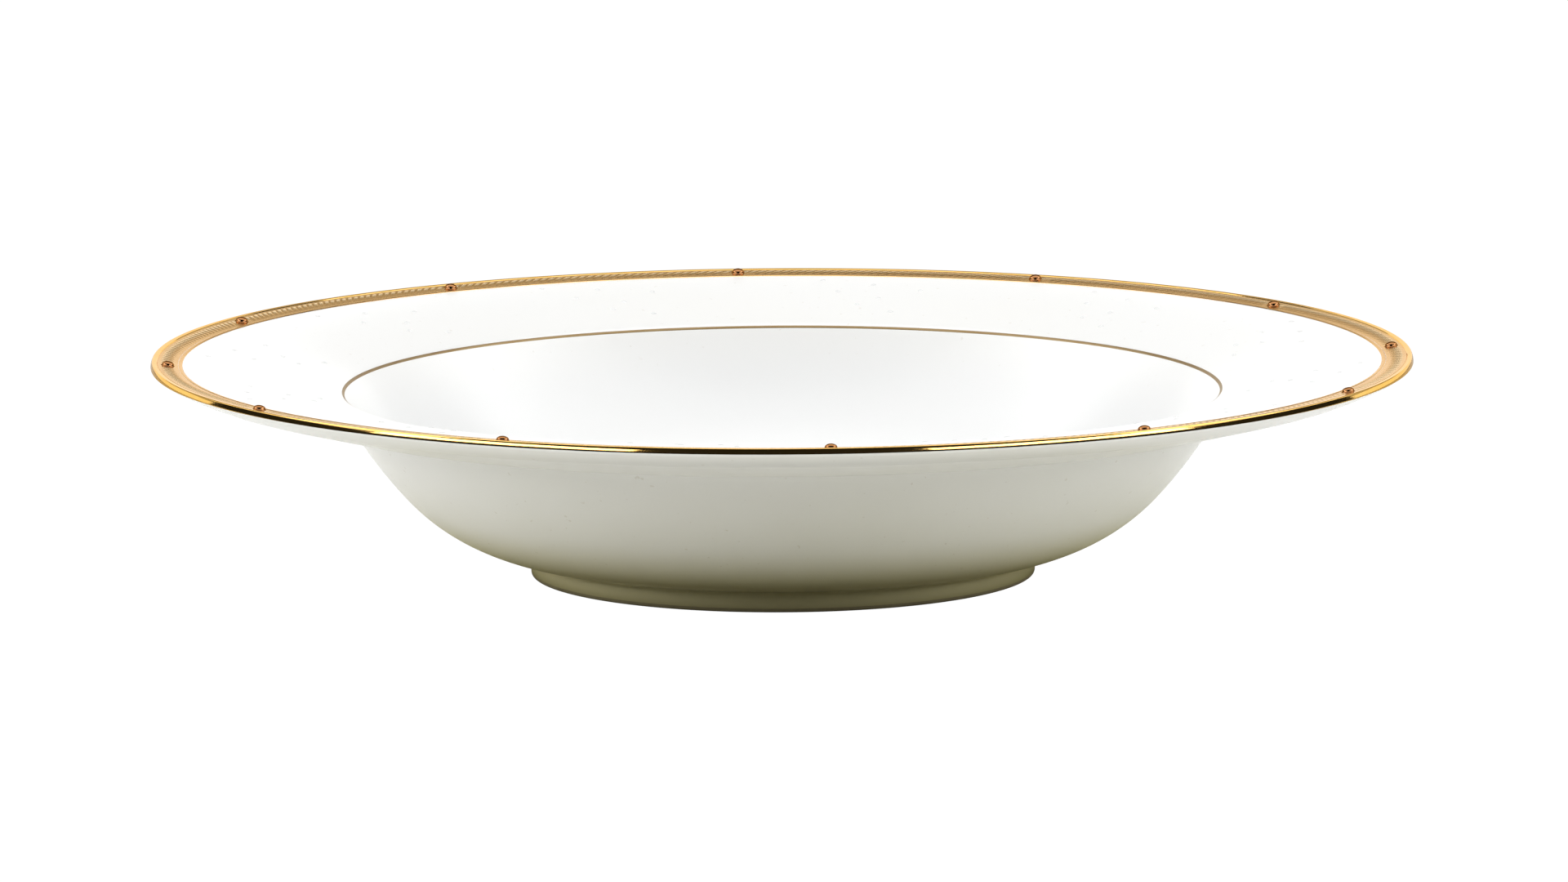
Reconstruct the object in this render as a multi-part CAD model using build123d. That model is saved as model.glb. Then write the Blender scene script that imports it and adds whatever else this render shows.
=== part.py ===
"""Wide-rimmed porcelain bowl with a gilded, rope-banded edge.

Millimetres, +Z up. The origin is the middle of the plane that the foot stands on.
Every round piece is one section turned about Z, so the layers meet face to face.
"""

import os
from math import cos, hypot, radians, sin

from build123d import *

# Bowl
lip_radius = 108.0
height = 37.8
flange_inner_radius = 76.2  # where the flange turns over into the well
verge_drop = 5.5  # how far the flange has dropped there
flange_outer_radius = 102.3  # where the flange meets the raised gold
well_top = (74.7, height - 6.6)
well_bend = (62.6, 16.4)  # inside wall, where it starts to curve into the floor
floor_radius = 37.0
floor_height = 5.6

# Outside of the wall and underside of the flange
wall_start_slope = 7.5  # degrees, where the wall leaves the foot
wall_bend = (64.7, 14.2)
wall_top = (75.2, 28.3)
under_bend = (84.5, 29.45)  # the flange's underside turns up a little more steeply here
flange_bend = (98.5, height - 4.8)
lip_underside = (107.3, height - 1.8)
wall_fillet = 2.2
gold_edge_drop = 0.95  # how far the gold wraps down over the outer edge
lip_edge = [  # the rolled edge, from the end of the gold up to the top
    (lip_radius - 0.07, height - gold_edge_drop),
    (lip_radius, height - 0.6),
    (lip_radius - 0.13, height - 0.28),
    (lip_radius - 0.38, height - 0.08),
    (lip_radius - 0.7, height),
]

# Foot
foot_radius = 43.4
foot_height = 3.5
foot_taper = 0.2
foot_inner_radius = 39.6
recess_height = 2.8
foot_edge_round = 0.45
foot_crease_fillet = 0.7
foot_middle_radius = 0.5 * (foot_radius + foot_inner_radius)
dry_rim = 0.7  # height of the bare clay at the bottom of the foot

# Layers
glaze_thickness = 0.4
gold_thickness = 0.2

# Gold band, beads and twisted-rope relief
band_outer_radius = 106.8
band_inner_radius = 103.3
band_outer_drop = 0.12
band_inner_drop = 0.66
inner_line_radius = 102.9
inner_line_half_width = 0.35
inner_line_height = 0.15
verge_line_radius = 75.15
verge_line_width = 0.5
bead_count = 12
bead_phase = 4.3  # degrees, of the first bead from +X
bead_circle_radius = 105.05
bead_radius = 1.05
bead_height = 0.75
rope_half_width = 1.1
rope_height = 0.2
rope_clearance = 0.95  # degrees left free on each side of a bead

# Raised enamel spray in each sector: radius and degrees from the sector's middle
enamel_dot_radius = 0.5
enamel_dot_height = 0.2
spray_dots = [
    (81.5, -3.0),
    (84.5, 1.6),
    (88.0, -0.6),
    (91.5, 4.4),
    (93.0, -4.8),
    (96.0, 0.8),
    (99.0, 6.4),
]


def band_drop(radius):
    """Depth of the gold band's surface below the lip at a radius."""
    share = (band_outer_radius - radius) / (band_outer_radius - band_inner_radius)
    return band_outer_drop + share * (band_inner_drop - band_outer_drop)


def direction(slope):
    return (cos(radians(slope)), sin(radians(slope)))


def cap_sphere_radius(base_radius, cap_height):
    """Radius of the sphere whose cap has this base radius and height."""
    return (base_radius**2 + cap_height**2) / (2 * cap_height)


def near_radius(points, radius, level):
    """The two corners, one on each side of the axis, next to a radius and a height."""
    return [
        min(points, key=lambda p: hypot(p.X - side * radius, p.Y - level))
        for side in (-1, 1)
    ]


def finished_outline():
    """Whole section of the finished bowl, both sides of the axis, in X and height."""
    with BuildSketch() as outline:
        with BuildLine():
            Polyline(
                (0, recess_height),
                (foot_inner_radius - foot_taper, recess_height),
                (foot_inner_radius, 0),
                (foot_radius - foot_taper, 0),
                (foot_radius, foot_height),
            )
            low = TangentArc((foot_radius, foot_height), wall_bend, tangent=direction(wall_start_slope))
            TangentArc(wall_bend, wall_top, tangent=low % 1)
            Line(wall_top, under_bend)
            under = Line(under_bend, flange_bend)
            rise = TangentArc(flange_bend, lip_underside, tangent=under % 1)
            TangentArc(lip_underside, lip_edge[0], tangent=rise % 1)
            band_outer = (band_outer_radius, height - band_outer_drop)
            Polyline(*lip_edge, band_outer)
            floor_edge = (floor_radius, floor_height)
            Line((0, floor_height), floor_edge)
            bend = TangentArc(floor_edge, well_bend, tangent=(1, 0))
            well = TangentArc(well_bend, well_top, tangent=bend % 1)
            flange_end = (flange_inner_radius, height - verge_drop)
            verge = TangentArc(well_top, flange_end, tangent=well % 1)
            flange_start = (flange_outer_radius, height - band_drop(flange_outer_radius))
            TangentArc(flange_end, flange_start, tangent=verge % 1)
            Line(flange_start, band_outer)
            mirror(about=Plane.YZ)
        make_face()
        corners = outline.vertices()
        fillet(near_radius(corners, *wall_top), wall_fillet)
        corners = outline.vertices()
        fillet(near_radius(corners, foot_radius, foot_height), foot_crease_fillet)
        corners = outline.vertices()
        base = near_radius(corners, foot_inner_radius, 0)
        base += near_radius(corners, foot_radius - foot_taper, 0)
        fillet(base, foot_edge_round)
        corners = outline.vertices()
        fillet(near_radius(corners, foot_inner_radius - foot_taper, recess_height), foot_crease_fillet)
    return outline.sketch


def region(*points):
    return make_face(Polyline(*points, close=True))


def middle_of_wall():
    """Points halfway through the wall, from the axis to the top of the lip."""
    return [
        (0, 0.5 * (recess_height + floor_height)),
        (foot_radius, 0.5 * (foot_height + floor_height) + 0.3),
        (54.0, 8.2),
        (63.5, 15.2),
        (74.2, 28.6),
        (76.8, 30.3),
        (flange_bend[0], height - 2.9),
        (band_outer_radius, height - 1.1),
    ]


def layer(outline, thickness):
    """The outermost layer of the section."""
    return outline - offset(outline, amount=-thickness)


def cap_section(outline, radius, level, half_width, cap_height):
    """Section of a low rounded ridge that lies on the bowl's surface."""
    round_radius = cap_sphere_radius(half_width, cap_height)
    disc = Pos(radius, level + cap_height - round_radius) * Circle(round_radius)
    return (disc - outline).faces().sort_by(Axis.Y)[-1]


def turned(section, degrees=360.0, start=0.0):
    """A section in X and height, turned about the bowl's axis."""
    upright = Plane.XZ * section
    return Rot(0, 0, start) * revolve(upright, axis=Axis.Z, revolution_arc=degrees)


def surface_cap(bowl, radius, level, base_radius, cap_height):
    """A low dome whose underside is the bowl's own surface."""
    ball_radius = cap_sphere_radius(base_radius, cap_height)
    ball = Pos(radius, 0, level + cap_height - ball_radius) * Sphere(ball_radius)
    return ball - bowl


def surface_level(outline, radius):
    """Height of the flange's upper surface at a radius."""
    probe = Line((radius, 0.5 * height), (radius, 2 * height)) & outline
    return probe.vertices().sort_by(Axis.Y)[-1].Y


def round_sections(outline):
    """Every turned piece's section, by node name."""
    middle = middle_of_wall()
    gold = layer(outline, gold_thickness)
    glaze = layer(outline, glaze_thickness)
    above = region(*middle, (band_outer_radius, 2 * height), (0, 2 * height))
    below = region(
        *middle,
        (band_outer_radius, 2 * height),
        (2 * lip_radius, 2 * height),
        (2 * lip_radius, dry_rim),
        (foot_middle_radius, dry_rim),
        (foot_middle_radius, middle[1][1] - 0.5),
        (0, middle[0][1] - 0.5),
    )
    recess = region(
        (0, dry_rim),
        (foot_middle_radius, dry_rim),
        (foot_middle_radius, recess_height + 1.0),
        (0, recess_height + 1.0),
    )
    edge_bottom = height - gold_edge_drop
    edge_zone = region(
        (band_outer_radius, height + 1),
        (2 * lip_radius, height + 1),
        (2 * lip_radius, edge_bottom),
        (band_outer_radius, edge_bottom),
    )
    band_zone = region(
        (band_inner_radius, height - 1.2),
        (band_outer_radius, height - 1.2),
        (band_outer_radius, height + 1),
        (band_inner_radius, height + 1),
    )
    half_line = 0.5 * verge_line_width
    verge_zone = region(
        (verge_line_radius - half_line, height - 8.0),
        (verge_line_radius + half_line, height - 8.0),
        (verge_line_radius + half_line, height),
        (verge_line_radius - half_line, height),
    )
    lip_gold = gold & edge_zone
    band_gold = gold & band_zone
    verge_gold = gold & verge_zone
    inside = glaze & above
    inside = inside - lip_gold - band_gold - verge_gold
    outside = (glaze & below) - lip_gold - inside
    recess_skin = glaze & recess
    half = region((0, -1), (2 * lip_radius, -1), (2 * lip_radius, 2 * height), (0, 2 * height))
    clay = (outline & half) - inside - outside - recess_skin - lip_gold - band_gold - verge_gold
    foot_zone = region(
        (foot_inner_radius - 1.5, -1),
        (foot_radius + 1, -1),
        (foot_radius + 1, recess_height + glaze_thickness),
        (foot_inner_radius - 1.5, recess_height + glaze_thickness),
    )
    line_level = height - band_drop(inner_line_radius)
    line_ridge = region(
        (inner_line_radius - inner_line_half_width, line_level - gold_thickness),
        (inner_line_radius + inner_line_half_width, line_level - gold_thickness),
        (inner_line_radius + 0.5 * inner_line_half_width, line_level + inner_line_height),
        (inner_line_radius - 0.5 * inner_line_half_width, line_level + inner_line_height),
    )
    return {
        "bowl_body": clay - foot_zone,
        "foot_ring": clay & foot_zone,
        "inside_glaze": inside,
        "outside_glaze": outside,
        "foot_recess_glaze": recess_skin,
        "lip_gold_edge": lip_gold,
        "gold_band": band_gold,
        "band_inner_line": line_ridge - outline,
        "verge_gold_line": verge_gold,
    }


def gold_beads(bowl):
    level = height - band_drop(bead_circle_radius)
    bead = surface_cap(bowl, bead_circle_radius, level, bead_radius, bead_height)
    step = 360.0 / bead_count
    return [Rot(0, 0, bead_phase + step * i) * bead for i in range(bead_count)]


def rope_spans(outline):
    level = height - band_drop(bead_circle_radius)
    section = cap_section(outline, bead_circle_radius, level, rope_half_width, rope_height)
    step = 360.0 / bead_count
    span = turned(section, degrees=step - 2 * rope_clearance)
    return [Rot(0, 0, bead_phase + rope_clearance + step * i) * span for i in range(bead_count)]


def enamel_sprays(bowl, outline):
    """Groups of low raised dots, one group between each two beads."""
    dots = []
    for radius, angle in spray_dots:
        level = surface_level(outline, radius)
        dot = surface_cap(bowl, radius, level, enamel_dot_radius, enamel_dot_height)
        dots.append(Rot(0, 0, angle) * dot)
    step = 360.0 / bead_count
    first = bead_phase + 0.5 * step
    return [Compound([Rot(0, 0, first + step * i) * dot for dot in dots]) for i in range(bead_count)]


def build():
    outline = finished_outline()
    sections = round_sections(outline)
    pieces = {name: turned(section) for name, section in sections.items()}
    half = region((0, -1), (2 * lip_radius, -1), (2 * lip_radius, 2 * height), (0, 2 * height))
    bowl = turned(outline & half, start=180)  # keeps its seam away from the domes cut on +X
    families = {
        "gold_bead": gold_beads(bowl),
        "rope_span": rope_spans(outline),
        "enamel_spray": enamel_sprays(bowl, outline),
    }
    for family, members in families.items():
        for number, member in enumerate(members, start=1):
            pieces[f"{family}_{number:02d}"] = member
    return pieces


os.makedirs("parts", exist_ok=True)
for node, shape in build().items():
    export_step(shape, f"parts/{node}.step")
    print(node, round(shape.volume, 2))
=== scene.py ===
import math

import bpy
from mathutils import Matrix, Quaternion, Vector


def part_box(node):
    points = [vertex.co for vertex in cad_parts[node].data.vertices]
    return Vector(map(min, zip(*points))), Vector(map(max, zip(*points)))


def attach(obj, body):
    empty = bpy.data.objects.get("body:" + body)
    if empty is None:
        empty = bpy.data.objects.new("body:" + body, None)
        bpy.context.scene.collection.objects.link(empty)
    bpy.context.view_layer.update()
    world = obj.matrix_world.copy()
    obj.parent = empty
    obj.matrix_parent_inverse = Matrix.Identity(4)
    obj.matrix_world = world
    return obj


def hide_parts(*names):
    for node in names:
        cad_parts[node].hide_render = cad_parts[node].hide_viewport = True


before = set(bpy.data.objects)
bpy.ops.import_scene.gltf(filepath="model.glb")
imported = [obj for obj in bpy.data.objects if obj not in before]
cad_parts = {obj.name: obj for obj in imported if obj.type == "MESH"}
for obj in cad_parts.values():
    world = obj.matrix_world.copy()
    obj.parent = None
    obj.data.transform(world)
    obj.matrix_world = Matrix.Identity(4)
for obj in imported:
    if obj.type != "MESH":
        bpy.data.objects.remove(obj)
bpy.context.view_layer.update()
mm = 0.001

# Lengths are in millimetres and angles in degrees, unless a note says otherwise.
# The bowl is turned about the upright axis, and a point of its section is (radius, height).

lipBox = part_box("lip_gold_edge")
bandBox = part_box("gold_band")
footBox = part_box("foot_ring")

bowlShape = {
    "lipRadius": lipBox[1].x / mm,
    "lipTop": lipBox[1].z / mm,
    "lipBevel": (0.22, 0.14),  # its upper end, in from the edge and below the top
    "lipBevelLean": 5.0,  # from upright, where the bevel starts
    "lipRoll": 0.5,  # width of the round on top of the edge
    "goldEdgeBottom": lipBox[0].z / mm,
    "bandOuter": bandBox[1].x / mm,
    "bandInner": 103.3,
    "bandOuterDrop": 0.12,  # below the top of the lip
    "bandInnerDrop": 0.66,
    "crease": (0.14, 0.09),  # width and depth of the groove between the edge and the band
    "flangeOuter": 102.3,
    "flangeInner": 76.2,
    "vergeDrop": 5.5,
    "wellTop": (74.7, 6.6),  # radius, depth below the lip
    "wellBend": (62.6, 16.4),
    "floor": (37.0, 5.6),  # radius of its flat part, height
    "wallStartSlope": 7.5,
    "wallBend": (64.7, 14.2),
    "wallTop": (75.2, 28.6),
    "underStep": (84.5, 29.45),
    "underBend": (98.5, 4.8),  # radius, depth below the lip
    "lipUnderside": (107.3, 1.42),
    "footRadius": footBox[1].x / mm + 0.16,
    "footHeight": 3.5,
    "footTaper": 0.2,
    "footInner": 39.6,
    "recessHeight": 2.8,
    "dryRim": 0.7,  # height of the bare clay at the bottom of the foot
    "glaze": 0.4,  # thickness of the glaze
    "gold": 0.2,  # and of the gilding
    "segments": 264,
    "goldSegments": 960,
}

# faint turning ring under the flange: radius, width and height
turningRings = [(101.4, 0.9, 0.05)]

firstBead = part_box("gold_bead_01")
beadPlace = (firstBead[0] + firstBead[1]) / 2
bead = {
    "count": 12,
    "phase": math.atan2(beadPlace.y, beadPlace.x),
    "circle": 105.05,
    "radius": 1.05,
    "height": 0.75,
    "collar": 0.15,  # width of the soft ring round a bead
    "collarEdge": 0.02,  # height of its edge, and then of its inner side
    "collarTop": 0.12,
    "sunk": 0.05,  # how deep it stands in the band
    "rings": 14,
    "spokes": 40,
}

rope = {
    "halfWidth": 1.15,
    "height": 0.12,
    "valley": 0.15,  # share of the height left between two strands
    "strands": 35,
    "skew": 0.75,  # how far a strand leans over the half width, in strand widths
    "clearance": 0.95,  # left free beside each bead
    "stepsEach": 10,
    "across": 12,
    "sunk": 0.05,
    "strandHighlight": (0.98, 0.84, 0.62, 1.0),  # painted highlight on the gilding where the strands stand proud
    "between": (0.50, 0.31, 0.12, 1.0),  # and painted shade between them
}


def arcTo(path, end, slope, steps):
    # adds the arc that leaves the last point at this slope and reaches end; gives the slope there
    start = path[-1]
    turn = 2 * (math.atan2(end[1] - start[1], end[0] - start[0]) - slope)
    turn = (turn + math.pi) % (2 * math.pi) - math.pi
    size = math.dist(start, end)
    for step in range(1, steps + 1):
        share = step / steps
        if abs(turn) < 1e-5:
            path.append(tuple(a + share * (b - a) for a, b in zip(start, end)))
            continue
        radius = size / (2 * math.sin(turn / 2))
        angle = slope + turn * share
        across = radius * (math.sin(angle) - math.sin(slope))
        path.append((start[0] + across, start[1] - radius * (math.cos(angle) - math.cos(slope))))
    return slope + turn


def lineTo(path, end, steps=1):
    start = path[-1]
    for step in range(1, steps + 1):
        share = step / steps
        path.append(tuple(a + share * (b - a) for a, b in zip(start, end)))
    return math.atan2(end[1] - start[1], end[0] - start[0])


def cornerTo(path, corner, after, cut, steps=6):
    # rounds a corner between the path's end and the point after it
    before = path[-1]

    def towards(point):
        share = cut / math.dist(corner, point)
        return tuple(c + share * (p - c) for c, p in zip(corner, point))

    first, last = towards(before), towards(after)
    for step in range(steps + 1):
        t = step / steps
        weights = ((1 - t) ** 2, 2 * t * (1 - t), t * t)
        bend = [(w * p[0], w * p[1]) for w, p in zip(weights, (first, corner, last))]
        path.append((sum(p[0] for p in bend), sum(p[1] for p in bend)))


def bandLevel(radius):
    shape = bowlShape
    share = (shape["bandOuter"] - radius) / (shape["bandOuter"] - shape["bandInner"])
    drop = shape["bandOuterDrop"] + share * (shape["bandInnerDrop"] - shape["bandOuterDrop"])
    return shape["lipTop"] - drop


def drawOutline():
    # one line round the section: recess, foot, wall, under the flange, lip, band, flange, well, floor
    shape = bowlShape
    top = shape["lipTop"]
    marks = {}
    path = [(0.0, shape["recessHeight"])]
    marks["recessMiddle"] = 0

    # the recess and the foot
    wallFoot = (shape["footInner"] - shape["footTaper"], shape["recessHeight"])
    lineTo(path, (wallFoot[0] - 3.0, wallFoot[1]), 12)
    cornerTo(path, wallFoot, (shape["footInner"], 0.0), 0.9)
    lean = shape["footTaper"] / shape["recessHeight"]
    path.append((shape["footInner"] - lean * shape["dryRim"], shape["dryRim"]))
    marks["innerDry"] = len(path) - 1

    base = shape["footRadius"] - shape["footTaper"]
    cornerTo(path, (shape["footInner"], 0.0), (base, 0.0), 0.5)
    lineTo(path, (base - 0.8, 0.0), 4)
    side = (base + shape["footTaper"] * shape["dryRim"] / shape["footHeight"], shape["dryRim"])
    cornerTo(path, (base, 0.0), side, 0.5)
    path.append(side)
    marks["outerDry"] = len(path) - 1

    # the wall and the underside of the flange
    crease = (shape["footRadius"], shape["footHeight"])
    slope = math.radians(shape["wallStartSlope"])
    lineTo(path, (crease[0] - 0.05, crease[1] - 1.1), 3)
    cornerTo(path, crease, (crease[0] + math.cos(slope), crease[1] + math.sin(slope)), 0.8)
    slope = arcTo(path, shape["wallBend"], slope, 36)
    arcTo(path, shape["wallTop"], slope, 20)
    path.pop()
    underBend = (shape["underBend"][0], top - shape["underBend"][1])
    cornerTo(path, shape["wallTop"], shape["underStep"], 0.6, 8)
    cornerTo(path, shape["underStep"], underBend, 1.6)
    slope = lineTo(path, underBend, 30)
    slope = arcTo(path, (shape["lipUnderside"][0], top - shape["lipUnderside"][1]), slope, 30)
    lowEdge = (shape["lipRadius"], shape["goldEdgeBottom"])
    highEdge = (shape["lipRadius"] - shape["lipBevel"][0], top - shape["lipBevel"][1])
    lineTo(path, lowEdge, 8)
    marks["goldEdge"] = len(path) - 1
    for index, (radius, level) in enumerate(path):  # the ring hangs a hair below the surface
        if level > shape["wallTop"][1]:
            ring = sum(h * math.exp(-(((radius - r) / w) ** 2)) for r, w, h in turningRings)
            path[index] = (radius, level - ring)

    # the gold edge and the band
    slope = arcTo(path, highEdge, math.radians(90 + shape["lipBevelLean"]), 10)
    arcTo(path, (shape["lipRadius"] - shape["lipRoll"], top), slope, 10)
    marks["lipCrest"] = len(path) - 1
    creaseWidth, creaseDepth = shape["crease"]
    lineTo(path, (shape["bandOuter"] + creaseWidth, top - 0.5 * creaseWidth), 3)
    path.append((shape["bandOuter"], bandLevel(shape["bandOuter"]) - creaseDepth))
    marks["bandOuter"] = len(path) - 1
    path.append((shape["bandOuter"] - creaseWidth, bandLevel(shape["bandOuter"] - creaseWidth)))
    lineTo(path, (shape["bandInner"], bandLevel(shape["bandInner"])), 10)
    marks["bandInner"] = len(path) - 1

    # the flange and the well, drawn from the floor up and then turned round
    lineTo(path, (shape["flangeOuter"], bandLevel(shape["flangeOuter"])), 3)
    marks["flangeOuter"] = len(path) - 1
    inward = [shape["floor"]]
    slope = arcTo(inward, shape["wellBend"], 0.0, 36)
    wellTop = (shape["wellTop"][0], top - shape["wellTop"][1])
    slope = arcTo(inward, wellTop, slope, 24)
    slope = arcTo(inward, (shape["flangeInner"], top - shape["vergeDrop"]), slope, 14)
    arcTo(inward, path[-1], slope, 60)
    path += inward[-2::-1]
    lineTo(path, (0.0, shape["floor"][1]), 10)
    marks["floorMiddle"] = len(path) - 1
    return path, marks


outline, marks = drawOutline()


def inset(depth):
    # the outline moved into the wall by a depth, point for point
    moved = []
    for index, point in enumerate(outline):
        before = outline[max(index - 1, 0)]
        after = outline[min(index + 1, len(outline) - 1)]
        along = Vector((after[0] - before[0], after[1] - before[1])).normalized()
        moved.append((max(point[0] - depth * along.y, 0.0), point[1] + depth * along.x))
    return moved


def layerSection(spans, bottom):
    # a closed section: each span of the outline at its own depth, then back along the bottom
    section = []
    for start, end, depth in spans:
        section += inset(depth)[marks[start]:marks[end] + 1]
    under = inset(bottom)[marks[spans[0][0]]:marks[spans[-1][1]] + 1]
    return section + under[::-1]


def tidySection(section):
    kept = []
    for point in section:
        if not kept or math.dist(point, kept[-1]) > 1e-4:
            kept.append(point)
    if math.dist(kept[0], kept[-1]) < 1e-4:
        kept.pop()
    area = sum(a[0] * b[1] - b[0] * a[1] for a, b in zip(kept, kept[1:] + kept[:1]))
    return kept if area > 0 else kept[::-1]


def isSharp(section, index):
    # whether the section turns a corner there that is too hard to shade smoothly
    before, here, after = section[index - 1], section[index], section[(index + 1) % len(section)]
    one = Vector((here[0] - before[0], here[1] - before[1])).normalized()
    two = Vector((after[0] - here[0], after[1] - here[1])).normalized()
    return one.dot(two) < math.cos(math.radians(32))


def addPiece(name, points, faces, node, material, sharpEdges=()):
    # one mesh in place of one CAD node
    mesh = bpy.data.meshes.new(name)
    mesh.from_pydata([tuple(mm * c for c in p) for p in points], [], faces)
    mesh.validate()
    mesh.polygons.foreach_set("use_smooth", [True] * len(mesh.polygons))
    if sharpEdges:
        wanted = {tuple(sorted(pair)) for pair in sharpEdges}
        flags = [tuple(sorted(edge.vertices)) in wanted for edge in mesh.edges]
        mesh.attributes.new("sharp_edge", "BOOLEAN", "EDGE").data.foreach_set("value", flags)
    mesh.materials.append(material)
    mesh.update()
    piece = bpy.data.objects.new(name, mesh)
    bpy.context.scene.collection.objects.link(piece)
    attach(piece, "root")
    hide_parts(node)
    return piece


def turnPiece(name, section, segments, node, material):
    # turns a closed section about the bowl's axis
    section = tidySection(section)
    points, rows = [], []
    for radius, level in section:
        if radius < 1e-6:
            rows.append([len(points)] * segments)
            points.append((0.0, 0.0, level))
            continue
        rows.append(range(len(points), len(points) + segments))
        for step in range(segments):
            angle = 2 * math.pi * step / segments
            points.append((radius * math.cos(angle), radius * math.sin(angle), level))
    faces, sharp = [], []
    for index, row in enumerate(rows):
        following = rows[(index + 1) % len(rows)]
        if row[0] == row[1] and following[0] == following[1]:
            continue
        for step in range(segments):
            turn = (step + 1) % segments
            corners = [row[step], row[turn], following[turn], following[step]]
            faces.append(list(dict.fromkeys(corners)))
        if isSharp(section, index):
            sharp += [(row[step], row[(step + 1) % segments]) for step in range(segments)]
    return addPiece(name, points, faces, node, material, sharp)


class Value:
    # a socket that can be used in ordinary arithmetic
    def __init__(self, graph, socket):
        self.graph = graph
        self.socket = socket

    def maths(self, operation, *values):
        return self.graph.add("Math", {"operation": operation}, dict(enumerate(values)))

    def __add__(self, other):
        return self.maths("ADD", self, other)

    def __radd__(self, other):
        return self.maths("ADD", other, self)

    def __sub__(self, other):
        return self.maths("SUBTRACT", self, other)

    def __rsub__(self, other):
        return self.maths("SUBTRACT", other, self)

    def __mul__(self, other):
        return self.maths("MULTIPLY", self, other)

    def __rmul__(self, other):
        return self.maths("MULTIPLY", other, self)

    def __pow__(self, other):
        return self.maths("POWER", self, other)


class Graph:
    # a material and its nodes
    def __init__(self, name):
        self.material = bpy.data.materials.new(name)
        self.material.use_nodes = True
        self.tree = self.material.node_tree
        self.tree.nodes.clear()

    def add(self, kind, settings, inputs, output=0):
        node = self.tree.nodes.new("ShaderNode" + kind)
        for key, value in settings.items():
            if key == "stops":
                for stop, (position, colour) in zip(node.color_ramp.elements, value):
                    stop.position, stop.color = position, colour
            else:
                setattr(node, key, value)
        for key, value in inputs.items():
            if isinstance(value, Value):
                self.tree.links.new(value.socket, node.inputs[key])
            else:
                node.inputs[key].default_value = value
        return Value(self, node.outputs[output]) if node.outputs else node

    def place(self):
        return self.add("TexCoord", {}, {}, "Object")

    def noise(self, scale, detail=2.0, roughness=0.5, place=None):
        vector = place or self.place()
        inputs = {"Vector": vector, "Scale": scale, "Detail": detail, "Roughness": roughness}
        return self.add("TexNoise", {}, inputs)

    def ramp(self, value, low, high):
        # 0 below low, 1 above high
        inputs = {0: value, 1: low, 2: high, 3: 0.0, 4: 1.0}
        return self.add("MapRange", {"interpolation_type": "SMOOTHSTEP"}, inputs)

    def mix(self, mask, first, second):
        return self.add("Mix", {"data_type": "RGBA"}, {0: mask, 6: first, 7: second}, 2)

    def bump(self, height, strength, distance):
        return self.add("Bump", {}, {"Height": height, "Strength": strength, "Distance": distance})

    def finish(self, inputs):
        surface = self.add("BsdfPrincipled", {}, inputs)
        self.add("OutputMaterial", {}, {"Surface": surface})
        return self.material


def rgba(red, green, blue):
    return (red, green, blue, 1.0)


china = {
    "white": rgba(0.885, 0.885, 0.870),
    "warm": rgba(0.87, 0.865, 0.835),  # clouds in the white
    "speck": rgba(0.62, 0.58, 0.50),
    "pooled": rgba(0.84, 0.84, 0.79),
    # painted shade: foot makes the glaze olive and darker towards the foot, base is a painted contact
    # shadow at its bottom, well makes the glaze darker low in the well
    "foot": rgba(0.78, 0.71, 0.37),
    "base": rgba(0.16, 0.14, 0.05),
    "well": rgba(0.825, 0.83, 0.825),
}


def makeGlazedChina(name, white, warm, ripples, roughness, shades):
    # shades: painted shade, darker colours given to the glaze lower down, each with the heights where
    # it is full and where it ends
    graph = Graph(name)
    cloud = graph.ramp(graph.noise(22.0, 3.0), 0.35, 0.70)
    dust = graph.ramp(graph.noise(900.0, 1.0), 0.735, 0.79)
    colour = graph.mix(cloud * 0.5, white, warm)
    colour = graph.mix(dust * 0.35, colour, china["speck"])
    height = graph.add("SeparateXYZ", {}, {0: graph.place()}, 2)
    for shade, low, high in shades:
        colour = graph.mix(1 - graph.ramp(height, low, high), colour, shade)
    ripple = graph.noise(60.0, 1.0) * 0.8 + graph.noise(380.0, 1.0) * 0.06
    dull = roughness + 0.06 * graph.noise(45.0, 2.0)
    return graph.finish({
        "Base Color": colour,
        "Roughness": dull,
        "Coat Weight": 0.12,
        "Coat Roughness": 0.12,
        "IOR": 1.54,
        "Normal": graph.bump(ripple, ripples, 0.0006),
    })


# painted contact shade: the bare clay is given a dark olive-brown in place of the shade where the foot
# meets the floor
clay = {"base": rgba(0.22, 0.19, 0.10), "dark": rgba(0.15, 0.12, 0.06)}


def makeBareClay():
    graph = Graph("bare china clay")
    grain = graph.noise(1400.0, 3.0, 0.7)
    scuff = graph.ramp(graph.noise(110.0, 4.0, 0.65), 0.48, 0.75)
    colour = graph.mix(scuff * 0.6, clay["base"], clay["dark"])
    return graph.finish({
        "Base Color": colour,
        "Roughness": 0.72 + 0.2 * grain,
        "Normal": graph.bump(grain, 0.5, 0.0001),
    })


# edge is the colour at a low angle, metal the share of metal, grain the strength of the bump
gilding = {
    "burnished gold": {
        "light": rgba(0.84, 0.53, 0.17), "deep": rgba(0.74, 0.42, 0.10), "edge": rgba(0.90, 0.72, 0.46),
        "metal": 1.0, "roughness": 0.08, "grain": 0.04,
    },
    "bead gold": {
        "light": rgba(0.36, 0.17, 0.07), "deep": rgba(0.26, 0.11, 0.04), "edge": rgba(0.62, 0.42, 0.26),
        "metal": 1.0, "roughness": 0.09, "grain": 0.05,
    },
    "satin gold": {
        "light": rgba(0.77, 0.51, 0.25), "deep": rgba(0.68, 0.42, 0.18), "edge": rgba(0.90, 0.73, 0.50),
        "metal": 1.0, "roughness": 0.22, "grain": 0.08,
    },
    "hand-lined gold": {
        "light": rgba(0.30, 0.21, 0.10), "deep": rgba(0.24, 0.15, 0.06), "edge": rgba(0.75, 0.60, 0.42),
        "metal": 0.40, "roughness": 0.36, "grain": 0.10,
    },
}


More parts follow.
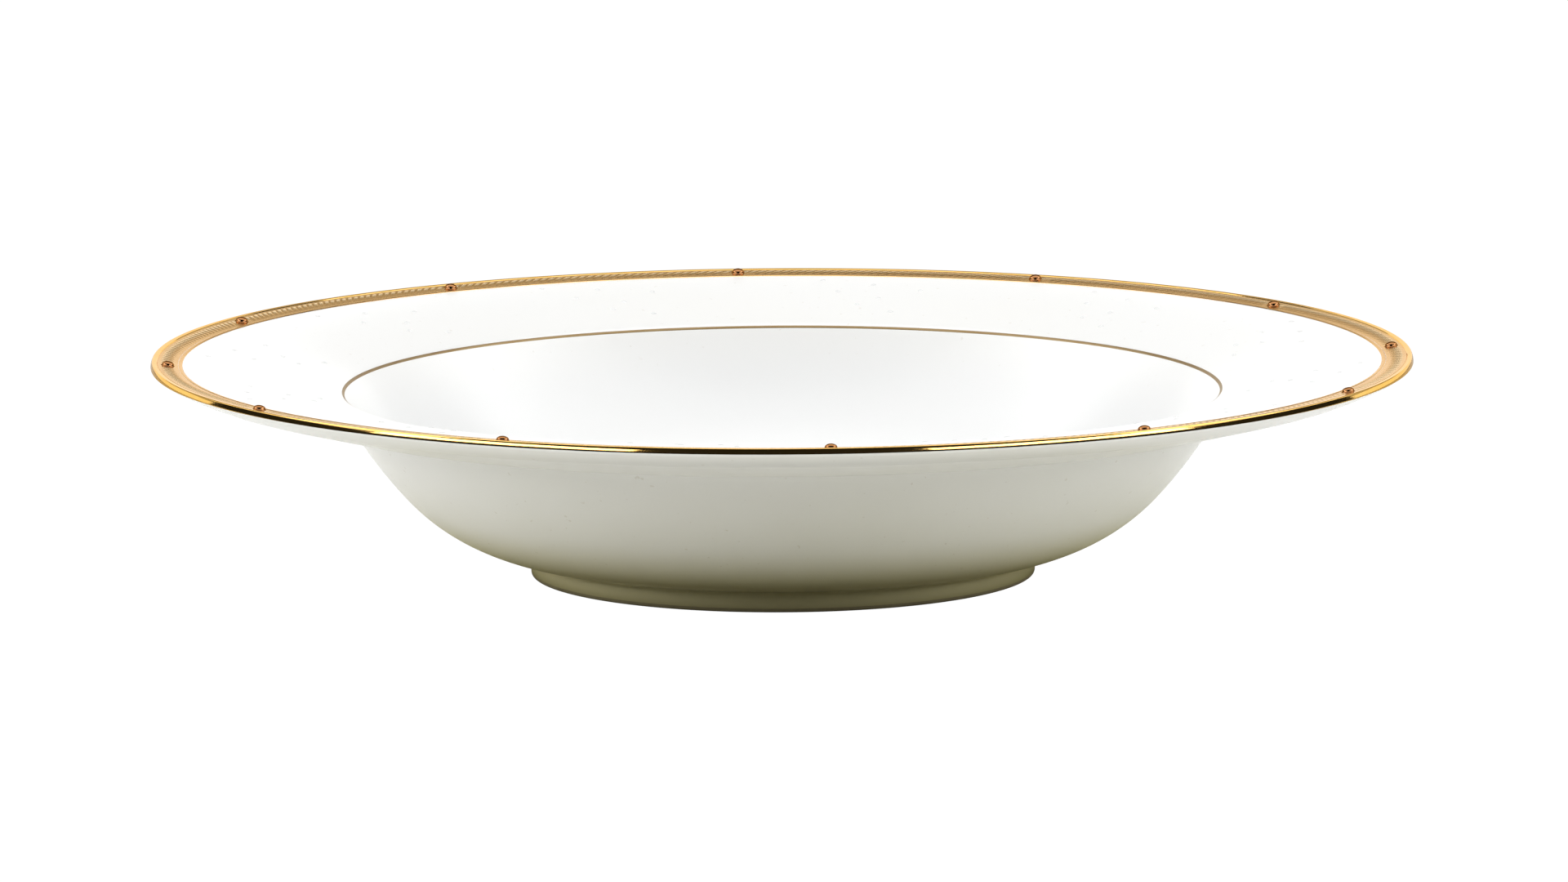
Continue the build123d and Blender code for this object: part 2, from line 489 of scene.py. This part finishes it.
def ropeColour(graph, plain):
    # the outer part of the rope gets painted highlights on its strands, with painted shade in the dark
    # gold between them
    x, y = [graph.add("SeparateXYZ", {}, {0: graph.place()}, axis) for axis in (0, 1)]
    side = ((x * x + y * y) ** 0.5 - bead["circle"] * mm) * (1000 / rope["halfWidth"])
    angle = x.maths("ARCTAN2", y, x) - bead["phase"]
    share = x.maths("FRACT", angle * (bead["count"] / (2 * math.pi)) + bead["count"])
    clearance = rope["clearance"] * bead["count"] / 360
    along = (share - clearance) * (math.pi * rope["strands"] / (1 - 2 * clearance))
    strand = x.maths("ABSOLUTE", x.maths("SINE", along + side * (math.pi * rope["skew"])))
    twisted = graph.mix(graph.ramp(strand, 0.35, 0.95), rope["between"], rope["strandHighlight"])
    outerPart = graph.ramp(side, -0.5, 0.3) * (1 - graph.ramp(side, 0.85, 1.05))
    return graph.mix(outerPart, plain, twisted)


def makeGold(name):
    look = gilding[name]
    graph = Graph(name)
    wear = graph.ramp(graph.noise(160.0, 3.0, 0.6), 0.42, 0.68)
    grain = graph.noise(2600.0, 2.0, 0.6)
    drift = graph.noise(70.0, 2.0)
    colour = graph.mix(wear * 0.45, look["light"], look["deep"])
    if name == "satin gold":
        colour = ropeColour(graph, colour)
    return graph.finish({
        "Base Color": colour,
        "Specular Tint": look["edge"],
        "Metallic": look["metal"],
        "Roughness": look["roughness"] * 0.75 + (0.5 * look["roughness"]) * (0.6 * drift + 0.4 * grain),
        "Normal": graph.bump(grain * 0.6 + drift, look["grain"], 0.00008),
    })


enamel = {"light": rgba(0.86, 0.86, 0.86), "dull": rgba(0.78, 0.78, 0.77)}


def makeEnamel():
    graph = Graph("raised white enamel")
    cloud = graph.noise(500.0, 2.0)
    colour = graph.mix(cloud * 0.5, enamel["light"], enamel["dull"])
    return graph.finish({
        "Base Color": colour,
        "Roughness": 0.16 + 0.14 * cloud,
        "Coat Weight": 0.3,
        "Normal": graph.bump(graph.noise(1500.0, 1.0), 0.12, 0.00005),
    })


# heights here are in metres, like the places that the shaders read
# painted shade: darker low in the well, olive and darker towards the foot, and a painted contact shadow
# at the bottom of the foot
insideShades = [(china["well"], 0.022, 0.034)]
outsideShades = [(china["foot"], -0.002, 0.015), (china["base"], -0.001, 0.0032)]
insideChina = makeGlazedChina(
    "glazed china, inside", china["white"], china["warm"], 0.02, 0.30, insideShades)
outsideChina = makeGlazedChina(
    "glazed china, outside", china["white"], china["pooled"], 0.012, 0.22, outsideShades)
bareClay = makeBareClay()
burnishedGold = makeGold("burnished gold")
beadGold = makeGold("bead gold")
satinGold = makeGold("satin gold")
lineGold = makeGold("hand-lined gold")
whiteEnamel = makeEnamel()
print("materials made")

glazeDepth, goldDepth = bowlShape["glaze"], bowlShape["gold"]
segments, goldSegments = bowlShape["segments"], bowlShape["goldSegments"]


def makeFoot():
    # bare clay at the bottom, and the core that the glaze covers above it
    joint = bowlShape["recessHeight"] + glazeDepth
    core = inset(glazeDepth)
    dry = outline[marks["innerDry"]:marks["outerDry"] + 1]
    outerSide = [p for p in core[marks["outerDry"]:marks["goldEdge"]] if p[1] < joint and p[0] < 45]
    innerSide = [
        p for p in core[marks["recessMiddle"]:marks["innerDry"] + 1]
        if p[1] < joint - 0.05 and p[0] > 38
    ]
    section = dry + outerSide + [(outerSide[-1][0], joint), (innerSide[0][0], joint)] + innerSide
    return turnPiece("footRing", section, segments, "foot_ring", bareClay)


def makeBody():
    # the clay core of the wall, the flange and the floor
    joint = bowlShape["recessHeight"] + glazeDepth
    core = inset(glazeDepth)
    outside = [p for p in core[marks["outerDry"]:marks["floorMiddle"] + 1] if p[1] > joint]
    section = [(0.0, joint), (outside[0][0], joint)] + outside
    return turnPiece("bowlBody", section, segments, "bowl_body", bareClay)


def makeLayers():
    # name, spans of the outline with their depth, depth of the bottom, segments, node, slot, material
    layers = [
        (
            "outsideGlaze", [("outerDry", "goldEdge", 0.0), ("goldEdge", "lipCrest", goldDepth)],
            glazeDepth, segments, "outside_glaze", "clear_glaze", outsideChina,
        ),
        (
            "insideGlaze", [("lipCrest", "bandInner", goldDepth), ("bandInner", "floorMiddle", 0.0)],
            glazeDepth, segments, "inside_glaze", "clear_glaze", insideChina,
        ),
        (
            "footRecessGlaze", [("recessMiddle", "innerDry", 0.0)],
            glazeDepth, segments, "foot_recess_glaze", "clear_glaze", outsideChina,
        ),
        (
            "lipGoldEdge", [("goldEdge", "bandOuter", 0.0)],
            goldDepth, goldSegments, "lip_gold_edge", "burnished_gold", burnishedGold,
        ),
        (
            "goldBand", [("bandOuter", "bandInner", 0.0)],
            goldDepth, goldSegments, "gold_band", "satin_gold", satinGold,
        ),
    ]
    for name, spans, depth, count, node, slot, material in layers:
        turnPiece(name, layerSection(spans, depth), count, node, material)


innerLine = {"radius": 102.9, "halfWidth": 0.36, "height": 0.12, "sunk": 0.05}


def makeInnerLine():
    # a low round ridge that closes the band on its inner side
    section = []
    for step in range(13):
        side = -1 + step / 6
        radius = innerLine["radius"] - side * innerLine["halfWidth"]
        section.append((radius, bandLevel(radius) + innerLine["height"] * (1 - side * side) ** 0.7))
    section += [(r, bandLevel(r) - innerLine["sunk"]) for r, z in (section[-1], section[0])]
    return turnPiece("bandInnerLine", section, goldSegments, "band_inner_line", satinGold)


vergeLine = {"radius": 75.15, "width": 0.60, "height": 0.035, "sunk": 0.03}


def makeVergeLine():
    # a hairline of gold that follows the shoulder of the well
    half = 0.5 * vergeLine["width"]
    inside = outline[marks["flangeOuter"]:marks["floorMiddle"]]
    course = [point for point in inside if abs(point[0] - vergeLine["radius"]) < 1.6]
    lengths = [0.0]
    for before, after in zip(course, course[1:]):
        lengths.append(lengths[-1] + math.dist(before, after))

    def at(distance):
        # the point at this distance along the course, and its direction
        for index in range(len(lengths) - 1):
            if lengths[index + 1] >= distance:
                share = (distance - lengths[index]) / (lengths[index + 1] - lengths[index])
                one, two = Vector(course[index]), Vector(course[index + 1])
                return one.lerp(two, share), (two - one).normalized()

    middle = next(lengths[i] for i in range(len(course)) if course[i][0] <= vergeLine["radius"])
    top, bottom = [], []
    for step in range(9):
        side = -1 + step / 4
        point, along = at(middle + side * half)
        outward = Vector((along.y, -along.x))
        lift = vergeLine["height"] * (1 - side * side) ** 0.5
        top.append(tuple(point + outward * lift))
        bottom.append(tuple(point - outward * vergeLine["sunk"]))
    section = top + bottom[::-1]
    return turnPiece("vergeGoldLine", section, segments, "verge_gold_line", lineGold)


makeFoot()
makeBody()
makeLayers()
makeInnerLine()
makeVergeLine()
print("turned pieces made")


def surfaceAt(radius):
    # height and slope of the upper surface at a radius
    for index in range(marks["lipCrest"], marks["floorMiddle"]):
        one, two = outline[index], outline[index + 1]
        if two[0] <= radius <= one[0]:
            share = (one[0] - radius) / (one[0] - two[0])
            return one[1] + share * (two[1] - one[1]), math.atan2(one[1] - two[1], one[0] - two[0])


def addDome(points, faces, radius, angle, profile, spokes):
    # a dome that stands on the surface there, square to it
    # its profile gives distance from the middle and height, from the rim in
    level, slope = surfaceAt(radius)
    out = Vector((math.cos(angle), math.sin(angle), 0.0))
    across = Vector((-out.y, out.x, 0.0))
    up = Vector((0, 0, 1)) * math.cos(slope) - out * math.sin(slope)
    along = out * math.cos(slope) + Vector((0, 0, 1)) * math.sin(slope)
    middle = out * radius + Vector((0, 0, level))
    start = len(points)
    for distance, height in profile[:-1]:
        for step in range(spokes):
            turn = 2 * math.pi * step / spokes
            flat = along * (distance * math.cos(turn)) + across * (distance * math.sin(turn))
            points.append(tuple(middle + flat + up * height))
    points.append(tuple(middle + up * profile[-1][1]))
    points.append(tuple(middle + up * profile[0][1]))
    peak, under = len(points) - 2, len(points) - 1
    rings = len(profile) - 1
    for ring in range(rings):
        for step in range(spokes):
            one = start + ring * spokes + step
            two = start + ring * spokes + (step + 1) % spokes
            if ring == 0:
                faces.append((two, one, under))
            if ring == rings - 1:
                faces.append((one, two, peak))
            else:
                faces.append((one, two, two + spokes, one + spokes))


def makeBeads():
    edge, low, high = bead["radius"] + bead["collar"], bead["collarEdge"], bead["collarTop"]
    profile = [(edge, -bead["sunk"]), (edge, low)]
    for step in range(1, 4):  # the collar rises softly into the ball
        share = step / 4
        profile.append((edge - bead["collar"] * share, low + (high - low) * share**2))
    for step in range(bead["rings"] + 1):
        angle = 0.5 * math.pi * step / bead["rings"]
        height = high + (bead["height"] - high) * math.sin(angle)
        profile.append((bead["radius"] * math.cos(angle), height))
    for number in range(bead["count"]):
        points, faces = [], []
        angle = bead["phase"] + 2 * math.pi * number / bead["count"]
        addDome(points, faces, bead["circle"], angle, profile, bead["spokes"])
        node = f"gold_bead_{number + 1:02d}"
        addPiece(f"goldBead{number + 1:02d}", points, faces, node, beadGold)


def makeRopeSpan(number):
    # twisted strands laid along the bead circle, from one bead to the next
    start = bead["phase"] + 2 * math.pi * number / bead["count"] + math.radians(rope["clearance"])
    sweep = 2 * math.pi / bead["count"] - 2 * math.radians(rope["clearance"])
    steps = rope["strands"] * rope["stepsEach"]
    lanes = rope["across"]
    points, faces = [], []
    for step in range(steps + 1):
        share = step / steps
        end = min(1.0, min(share, 1 - share) * rope["strands"])  # the first and last strand run out
        angle = start + sweep * share
        for lane in range(lanes + 1):
            side = -math.cos(math.pi * lane / lanes)
            radius = bead["circle"] + side * rope["halfWidth"]
            turn = math.pi * (share * rope["strands"] + rope["skew"] * side)
            strand = rope["valley"] + (1 - rope["valley"]) * math.sin(turn) ** 2
            level = bandLevel(radius) + rope["height"] * (1 - side * side) * strand * end
            points.append((radius * math.cos(angle), radius * math.sin(angle), level))
    top = len(points)
    for step in range(steps + 1):
        angle = start + sweep * step / steps
        for side in (-1, 1):
            radius = bead["circle"] + side * rope["halfWidth"]
            level = bandLevel(radius) - rope["sunk"]
            points.append((radius * math.cos(angle), radius * math.sin(angle), level))
    row = lanes + 1
    for step in range(steps):
        for lane in range(lanes):
            corner = step * row + lane
            faces.append((corner, corner + 1, corner + row + 1, corner + row))
        low = top + 2 * step
        faces.append((low, low + 2, low + 3, low + 1))
        faces.append((step * row, step * row + row, low + 2, low))
        faces.append((step * row + lanes, low + 1, low + 3, step * row + row + lanes))
    faces.append(tuple(range(lanes, -1, -1)) + (top, top + 1))
    last = steps * row
    faces.append(tuple(range(last, last + row)) + (top + 2 * steps + 1, top + 2 * steps))
    node = f"rope_span_{number + 1:02d}"
    addPiece(f"ropeSpan{number + 1:02d}", points, faces, node, satinGold)


spray = {
    "dotRadius": 0.5,
    "dotHeight": 0.16,
    "sunk": 0.04,
    # radius of each dot, and its turn from the middle between two beads
    "dots": [
        (81.5, -3.0), (84.5, 1.6), (88.0, -0.6), (91.5, 4.4), (93.0, -4.8), (96.0, 0.8), (99.0, 6.4),
    ],
}


def makeSpray(number):
    # a loose group of enamel dots
    profile = [(spray["dotRadius"], -spray["sunk"])]
    for step in range(7):
        angle = 0.5 * math.pi * step / 6
        profile.append((spray["dotRadius"] * math.cos(angle), spray["dotHeight"] * math.sin(angle)))
    points, faces = [], []
    middle = bead["phase"] + 2 * math.pi * (number + 0.5) / bead["count"]
    for radius, angle in spray["dots"]:
        addDome(points, faces, radius, middle + math.radians(angle), profile, 20)
    node = f"enamel_spray_{number + 1:02d}"
    addPiece(f"enamelSpray{number + 1:02d}", points, faces, node, whiteEnamel)


makeBeads()
for number in range(bead["count"]):
    makeRopeSpan(number)
    makeSpray(number)
print("beads, rope and enamel made")

# everything in the studio is in metres
studio = {
    "floorSize": 16.0,
    "paper": rgba(0.84, 0.84, 0.82),
    "underBowl": rgba(0.38, 0.35, 0.17),  # the floor below the bowl, where little light reaches
    "contact": rgba(0.04, 0.035, 0.01),  # and close to the foot
    "farPaper": rgba(0.50, 0.50, 0.48),
    "shadeShape": (1.30, 1.0, 1.0),  # the shade is narrower sideways, where the light comes from
    "paperLight": 0.13,  # the paper glows a little, painted light in place of light from below
    "floorGlow": 0.97,  # how much of the floor's shade the camera does not see
    "ambient": 0.02,
}

# name, azimuth (0 is the camera's side, positive to the right), distance, height, size, radiance,
# and whether it is mirrored in the glaze and the gold
softboxes = [
    ("front left softbox", -52, 1.5, 0.60, (1.45, 0.40), 3.7, True),
    ("front right softbox", 52, 1.5, 0.60, (1.45, 0.40), 3.7, True),
    ("left softbox", -100, 1.3, 1.00, (1.6, 0.94), 1.3, True),
    ("right softbox", 100, 1.3, 1.00, (1.6, 0.94), 1.3, True),
    ("back sweep", 180, 1.9, 0.27, (5.6, 0.54), 1.03, True),
    ("backdrop", 180, 1.95, 1.05, (5.6, 1.00), 0.42, True),
    ("overhead softbox", 180, 0.27, 1.35, (3.6, 1.26), 1.46, True),
    ("low left fill", -98, 1.4, 0.27, (1.3, 0.5), 1.3, False),
    ("low right fill", 98, 1.4, 0.27, (1.3, 0.5), 0.45, False),
]


def makeFloor():
    half = 0.5 * studio["floorSize"]
    mesh = bpy.data.meshes.new("floor")
    corners = [(-half, -half, 0), (half, -half, 0), (half, half, 0), (-half, half, 0)]
    mesh.from_pydata(corners, [], [(0, 1, 2, 3)])
    floor = bpy.data.objects.new("floor", mesh)
    bpy.context.scene.collection.objects.link(floor)
    graph = Graph("pale paper floor")
    widened = {0: graph.place(), 1: studio["shadeShape"]}
    place = graph.add("VectorMath", {"operation": "MULTIPLY"}, widened)
    reach = graph.add("VectorMath", {"operation": "LENGTH"}, {0: place}, 1)
    shaded = graph.mix(graph.ramp(reach, 0.043, 0.080), studio["contact"], studio["underBowl"])
    near = graph.mix(graph.ramp(reach, 0.055, 0.125), shaded, studio["paper"])
    colour = graph.mix(graph.ramp(reach, 0.16, 0.35), near, studio["farPaper"])
    paper = graph.add("BsdfPrincipled", {}, {
        "Base Color": colour,
        "Roughness": 1.0,
        "Specular IOR Level": 0.0,
        "Emission Color": colour,
        "Emission Strength": studio["paperLight"],
    })
    glow = graph.add("Emission", {}, {"Color": rgba(1.0, 1.0, 1.0), "Strength": 1.05})
    seen = graph.add("LightPath", {}, {}, "Is Camera Ray") * studio["floorGlow"]
    surface = graph.add("MixShader", {}, {0: seen, 1: paper, 2: glow})
    graph.add("OutputMaterial", {}, {"Surface": surface})
    mesh.materials.append(graph.material)


def addSoftbox(name, azimuth, distance, height, size, radiance, mirrored):
    lamp = bpy.data.lights.new(name, "AREA")
    lamp.shape = "RECTANGLE"
    lamp.size, lamp.size_y = size
    lamp.energy = 4 * radiance * size[0] * size[1]
    angle = math.radians(azimuth)
    place = Vector((distance * math.sin(angle), -distance * math.cos(angle), height))
    aim = Vector((0, 0, 0.03)) - place
    if height < 0.8 * distance:  # a wall of light stands upright
        aim.z = 0
    softbox = bpy.data.objects.new(name, lamp)
    softbox.location = place
    softbox.rotation_euler = aim.to_track_quat("-Z", "Y").to_euler()
    softbox.visible_camera = False
    softbox.visible_glossy = mirrored
    bpy.context.scene.collection.objects.link(softbox)


def makeLights():
    for settings in softboxes:
        addSoftbox(*settings)
    world = bpy.data.worlds.new("studio")
    world.use_nodes = True
    nodes = world.node_tree.nodes
    nodes["Background"].inputs["Color"].default_value = rgba(1.0, 1.0, 1.0)
    rays = nodes.new("ShaderNodeLightPath")
    backdrop = nodes.new("ShaderNodeMapRange")  # white where the camera looks past the floor
    backdrop.inputs["To Min"].default_value = studio["ambient"]
    world.node_tree.links.new(rays.outputs["Is Camera Ray"], backdrop.inputs["Value"])
    world.node_tree.links.new(backdrop.outputs["Result"], nodes["Background"].inputs["Strength"])
    bpy.context.scene.world = world


camera = {
    "lens": 255.8,
    "sensor": 36.0,
    "place": (0.27, -1888.4, 310.9),
    "aim": (0.27, 0.0, 22.6),
    "roll": 0.0052,  # radians
}


def makeCamera():
    lens = bpy.data.cameras.new("camera")
    lens.lens = camera["lens"]
    lens.sensor_width = camera["sensor"]
    lens.clip_end = 100.0
    view = bpy.data.objects.new("camera", lens)
    place = Vector(camera["place"]) * mm
    aim = Vector(camera["aim"]) * mm
    view.location = place
    look = (aim - place).to_track_quat("-Z", "Y")
    view.rotation_mode = "QUATERNION"
    view.rotation_quaternion = look @ Quaternion((0, 0, 1), -camera["roll"])
    bpy.context.scene.collection.objects.link(view)
    bpy.context.scene.camera = view


makeFloor()
makeLights()
makeCamera()
bpy.context.scene.view_settings.view_transform = "Standard"
print("studio made")
